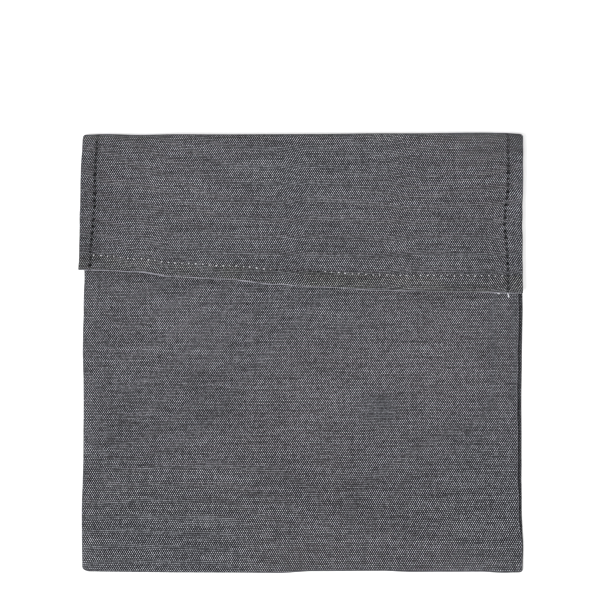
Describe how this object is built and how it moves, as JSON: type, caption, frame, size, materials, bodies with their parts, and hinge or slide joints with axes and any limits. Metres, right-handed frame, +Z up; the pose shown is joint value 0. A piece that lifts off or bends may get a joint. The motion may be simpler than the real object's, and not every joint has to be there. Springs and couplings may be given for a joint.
{
  "type": "reusable freezer bag",
  "caption": "Flat square cloth pouch for freezing and storing food, empty and lying on its back, with a hemmed flap folded over its mouth.",
  "frame": {"origin": "on the underside, under the middle of the bag's outline", "axes": "+X to the right as the flap is seen from above, +Y from the bottom fold towards the top fold, +Z up off the surface the bag lies on"},
  "size_m": [0.2526, 0.2502, 0.0075],
  "materials": {
    "chambray": "matte charcoal chambray, plain weave of near-black warp and light grey weft"
  },
  "bodies": {
    "root": {"bag_cloth": "chambray"}
  },
  "joints": []
}
